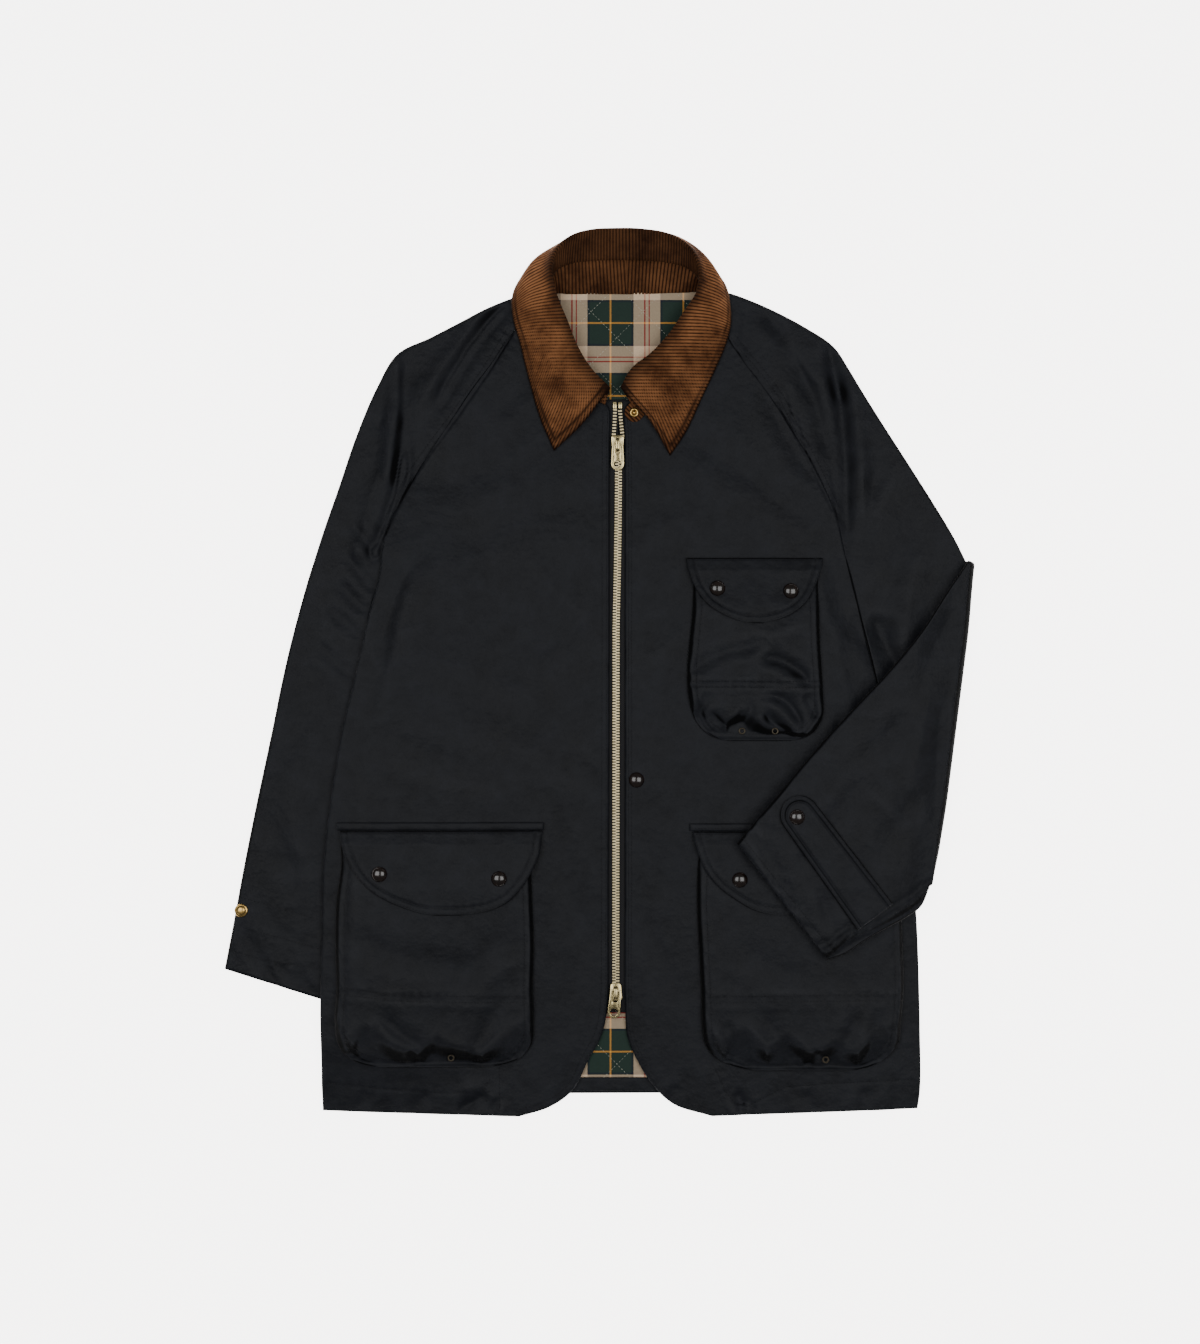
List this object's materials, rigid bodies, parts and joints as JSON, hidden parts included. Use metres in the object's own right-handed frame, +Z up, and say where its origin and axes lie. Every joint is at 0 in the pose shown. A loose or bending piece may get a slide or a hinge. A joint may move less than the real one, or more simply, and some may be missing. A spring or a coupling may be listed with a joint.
{
  "type": "waxed cotton jacket laid flat",
  "caption": "Waxed cotton jacket with a corduroy collar, flapped bellows pockets and a two-way zip, laid flat with one sleeve folded across the front.",
  "frame": {"origin": "middle of the garment's outline, on the surface it lies on", "axes": "+Y towards the collar, +X towards the wearer's left, +Z up from the surface"},
  "size_m": [0.7502, 0.8886, 0.0395],
  "materials": {
    "waxed_cotton": "near-black waxed cotton with a soft satin sheen",
    "corduroy": "brown corduroy, 8 wales to the inch",
    "lining": null,
    "zip_tape": "black woven tape",
    "brass": "pale polished brass",
    "dark_cap": "very dark brown gloss enamel"
  },
  "bodies": {
    "jacket": {"back_panel": "waxed_cotton", "right_front": "waxed_cotton", "left_front": "waxed_cotton", "right_sleeve": "waxed_cotton", "left_sleeve": "waxed_cotton", "collar_stand": "corduroy", "collar_fall": "corduroy", "throat_tab": "corduroy", "throat_snap": "brass", "lining_neck": "lining", "lining_hem": "lining", "hem_facing": "waxed_cotton", "zip_tape_right": "zip_tape", "zip_tape_left": "zip_tape", "zip_chain": "brass", "top_stop_right": "brass", "top_stop_left": "brass", "upper_slider": "brass", "lower_slider": "brass", "lower_pocket_right": "waxed_cotton", "lower_flap_right": "waxed_cotton", "lower_welt_right": "waxed_cotton", "lower_cap_right_1": "dark_cap", "lower_cap_right_2": "dark_cap", "lower_eyelet_right_1": "brass", "lower_pocket_left": "waxed_cotton", "lower_flap_left": "waxed_cotton", "lower_welt_left": "waxed_cotton", "lower_cap_left_1": "dark_cap", "lower_cap_left_2": "dark_cap", "lower_eyelet_left_1": "brass", "chest_pocket": "waxed_cotton", "chest_flap": "waxed_cotton", "chest_cap_1": "dark_cap", "chest_cap_2": "dark_cap", "chest_eyelet_1": "brass", "chest_eyelet_2": "brass", "cuff_strap": "waxed_cotton", "strap_cap": "dark_cap", "front_cap": "dark_cap", "cuff_stud": "brass"},
    "upper_tab": {"upper_pull": "brass"},
    "lower_tab": {"lower_pull": "brass"}
  },
  "joints": [
    {"name": "upper_pull_swing", "type": "hinge", "parent": "jacket", "child": "upper_tab", "pos_m": [0.01852, 0.23008, 0.0121], "axis": [-1, 0, 0], "range_deg": [0, 160]},
    {"name": "lower_pull_swing", "type": "hinge", "parent": "jacket", "child": "lower_tab", "pos_m": [0.01666, -0.31812, 0.0121], "axis": [-0.9962, 0.0872, 0], "range_deg": [0, 160]}
  ]
}
